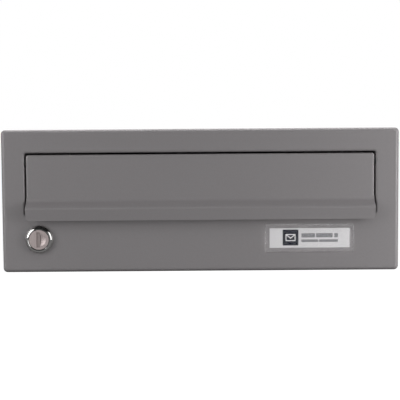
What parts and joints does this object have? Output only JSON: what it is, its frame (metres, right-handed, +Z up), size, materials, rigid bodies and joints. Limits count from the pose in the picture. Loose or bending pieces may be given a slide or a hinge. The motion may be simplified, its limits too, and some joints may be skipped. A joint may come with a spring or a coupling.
{
  "type": "wall mounted mailbox",
  "caption": "Deep horizontal sheet-metal letterbox with a full-front hinged door, a wide sprung letter flap with a pull lip, a cam lock and a clear name plate.",
  "frame": {"origin": "centre of the flat outer face of the back panel, where the wall is", "axes": "+Z up, +Y into the wall, -Y out of the door's front, +X to the right of someone who faces the door"},
  "size_m": [0.3, 0.392, 0.1078],
  "materials": {
    "grey_coat": "satin grey metallic powder coat",
    "steel_zinc": "bright zinc-plated steel",
    "rivet_aluminium": "plain blind-rivet aluminium",
    "lock_chrome": "polished chrome",
    "lock_nickel": "satin nickel",
    "wafer_brass": "stamped brass",
    "black_rubber": "moulded rubber",
    "white_nylon": "turned nylon",
    "clear_cover": "clear moulded acrylic",
    "label_paper": "white label paper",
    "spring_steel": "spring wire",
    "black_nylon": "turned nylon"
  },
  "bodies": {
    "housing": {"left_side_panel": "grey_coat", "right_side_panel": "grey_coat", "floor_panel": "grey_coat", "roof_panel": "grey_coat", "back_panel": "grey_coat", "front_frame": "grey_coat", "housing_rivets": "rivet_aluminium", "door_buffers": "black_rubber", "hinge_ears": "grey_coat", "hinge_pins": "steel_zinc", "hinge_clips": "steel_zinc"},
    "door": {"door_panel": "grey_coat", "hinge_leaves": "grey_coat", "hinge_bushes": "white_nylon", "flap_bushes": "black_nylon", "flap_spring": "spring_steel", "flap_buffers": "black_rubber", "lock_housing": "lock_chrome", "lock_washer": "steel_zinc", "lock_nut": "steel_zinc", "nameplate_cover": "clear_cover", "name_label": "label_paper"},
    "flap": {"letter_flap": "grey_coat", "flap_rod": "steel_zinc", "rod_caps": "steel_zinc", "flap_cheeks": "grey_coat"},
    "lock": {"lock_plug": "lock_nickel", "lock_wafers": "wafer_brass", "lock_cam": "steel_zinc", "cam_washer": "steel_zinc", "cam_screw": "steel_zinc"},
    "shutter": {"dust_shutter": "lock_nickel"}
  },
  "joints": [
    {"name": "door_hinge", "type": "hinge", "parent": "housing", "child": "door", "pos_m": [0.143, -0.375, 0], "axis": [0, 0, 1], "range_deg": [0, 95]},
    {"name": "flap_hinge", "type": "hinge", "parent": "door", "child": "flap", "pos_m": [0, -0.381, 0.029], "axis": [-1, 0, 0], "range_deg": [0, 85], "stiffness_Nm_per_rad": 0.02, "springref_deg": -34.38, "deforming": ["flap_spring"]},
    {"name": "lock_turn", "type": "hinge", "parent": "door", "child": "lock", "pos_m": [-0.1219, -0.381, -0.0288], "axis": [0, -1, 0], "range_deg": [0, 90]},
    {"name": "shutter_hinge", "type": "hinge", "parent": "lock", "child": "shutter", "pos_m": [-0.1245, -0.3869, -0.0288], "axis": [0, 0, 1], "range_deg": [0, 80], "stiffness_Nm_per_rad": 0.00001, "springref_deg": -28.65}
  ]
}
